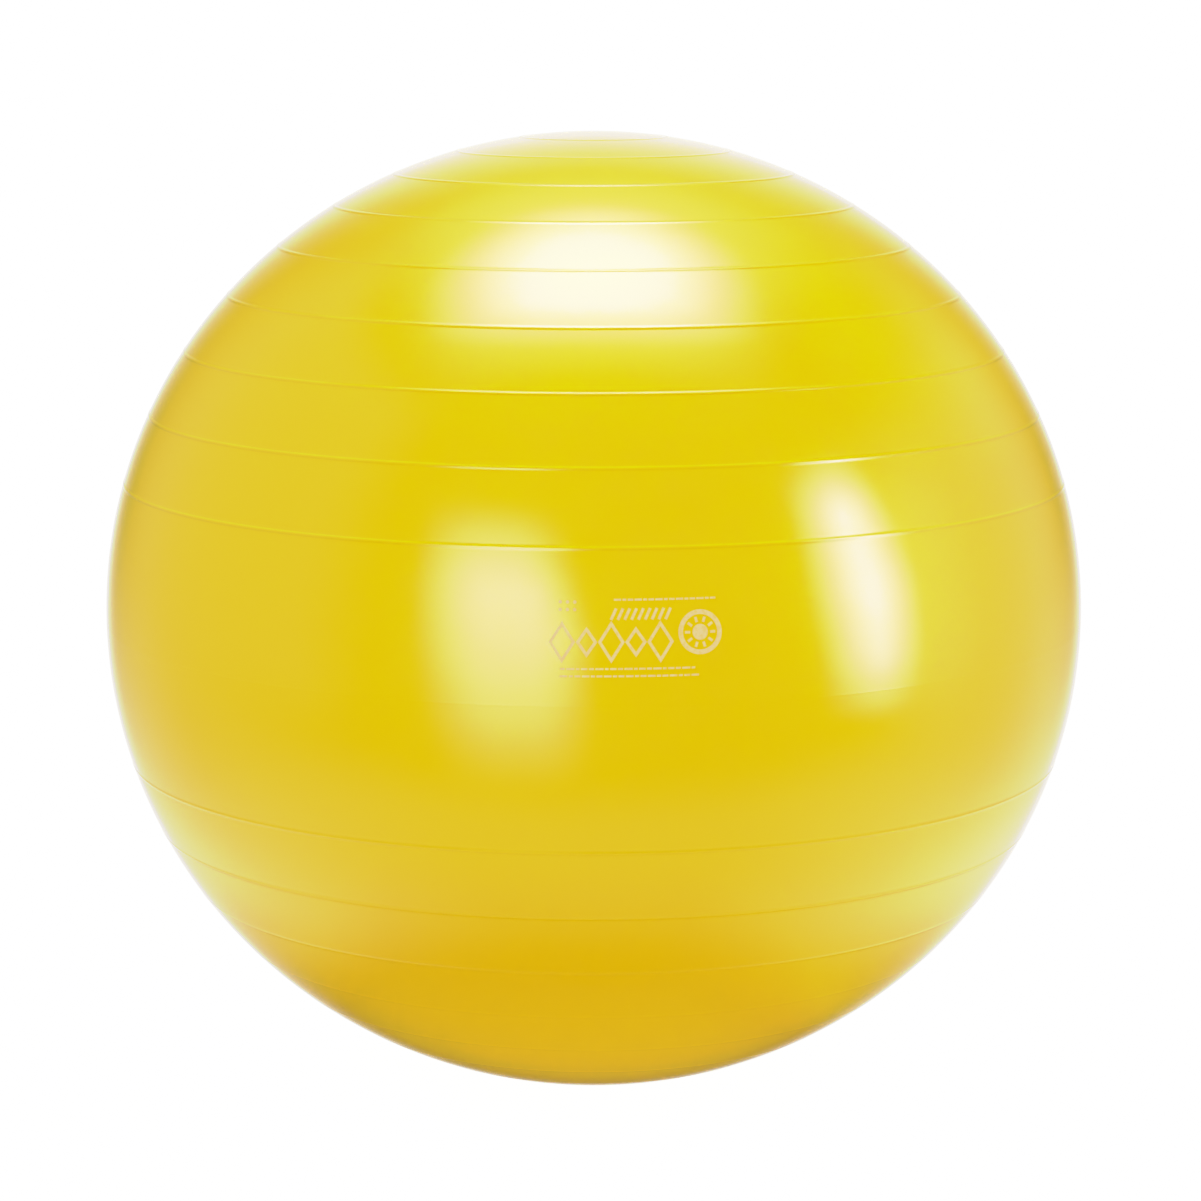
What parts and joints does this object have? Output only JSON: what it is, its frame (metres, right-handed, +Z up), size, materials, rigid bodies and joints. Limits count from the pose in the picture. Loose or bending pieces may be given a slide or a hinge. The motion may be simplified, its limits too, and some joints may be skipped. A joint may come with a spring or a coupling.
{
  "type": "exercise ball",
  "caption": "Large inflatable ball of soft vinyl with fine grip ribs round a smooth middle band, closed by a push-in plug in a flush valve.",
  "frame": {"origin": "centre of the ball, halfway between the floor it stands on and its top", "axes": "+Z up along the axis of the grip ribs, +Y out through the valve, -Y out through the printed front, +X to the right of someone facing the front"},
  "size_m": [0.75, 0.75, 0.732],
  "materials": {
    "vinyl_skin": "pearly satin soft PVC",
    "valve_rubber": "matte soft PVC, the colour of the skin",
    "white_plastic": "satin white polyethylene",
    "print_ink": "matte screen ink, pale cream"
  },
  "bodies": {
    "ball": {"ball_skin": "vinyl_skin", "valve_collar": "valve_rubber"},
    "plug": {"valve_plug": "white_plastic"}
  },
  "joints": [
    {"name": "plug_pull", "type": "slide", "parent": "ball", "child": "plug", "axis": [0, 1, 0], "range_m": [0, 0.03]}
  ]
}
